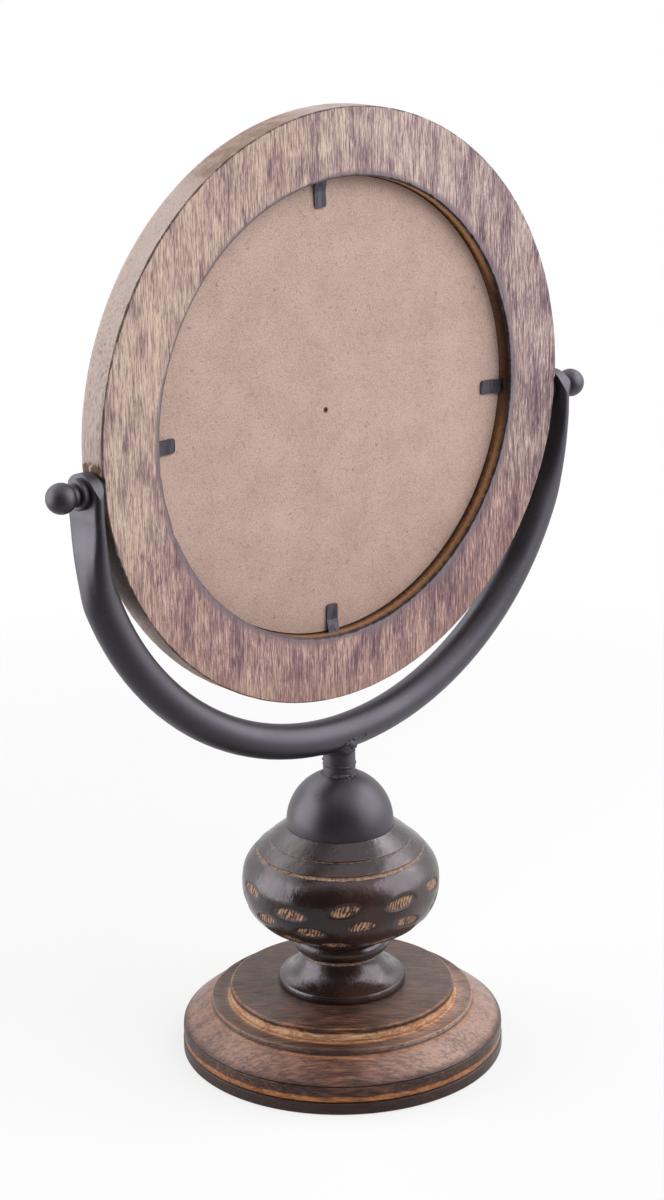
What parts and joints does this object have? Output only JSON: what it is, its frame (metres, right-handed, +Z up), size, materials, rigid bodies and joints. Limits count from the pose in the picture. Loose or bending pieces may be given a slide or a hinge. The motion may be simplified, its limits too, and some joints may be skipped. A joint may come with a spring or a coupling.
{
  "type": "table mirror",
  "caption": "Round mirror in a flat wooden ring, tilting between the flattened ends of a bent steel tube on a turned wooden stand.",
  "frame": {"origin": "middle of the base's underside, where it rests on the table", "axes": "+Z up, +X along the pivot line, the glass faces -Y and the fibreboard back faces +Y"},
  "size_m": [0.308, 0.1488, 0.4347],
  "materials": {
    "frame_wood": "raw, brushed, open grain",
    "column_wood": "dark brown lacquer, glossy",
    "base_wood": "brown stain, satin, worn edges",
    "fibreboard": "raw fibreboard, matt",
    "silvered_glass": "polished",
    "point_steel": "dark, dull",
    "zinc_steel": "zinc plated",
    "insert_brass": "plain",
    "black_plastic": "matt black",
    "black_paint": "satin black"
  },
  "bodies": {
    "stand": {"yoke": "black_paint", "yoke_socket": "black_paint", "stem_sleeve": "black_paint", "dome_cap": "black_paint", "column": "column_wood", "base_disc": "base_wood", "tie_rod": "zinc_steel", "rod_washer": "zinc_steel", "rod_nut": "zinc_steel"},
    "mirror": {"frame_ring": "frame_wood", "mirror_glass": "silvered_glass", "backing_board": "fibreboard", "retaining_point_top": "point_steel", "retaining_point_right": "point_steel", "retaining_point_bottom": "point_steel", "retaining_point_left": "point_steel", "right_insert": "insert_brass", "left_insert": "insert_brass", "right_spacer": "black_plastic", "left_spacer": "black_plastic"},
    "right_screw": {"right_pivot_screw": "black_paint"},
    "left_screw": {"left_pivot_screw": "black_paint"}
  },
  "joints": [
    {"name": "mirror_tilt", "type": "hinge", "parent": "stand", "child": "mirror", "pos_m": [0, 0, 0.29122], "axis": [1, 0, 0], "range_deg": [-140, 140]},
    {"name": "right_screw_turn", "type": "hinge", "parent": "mirror", "child": "right_screw", "pos_m": [0.14, 0, 0.29122], "axis": [1, 0, 0], "range_deg": [0, 720]},
    {"name": "left_screw_turn", "type": "hinge", "parent": "mirror", "child": "left_screw", "pos_m": [-0.14, 0, 0.29122], "axis": [-1, 0, 0], "range_deg": [0, 720]}
  ]
}
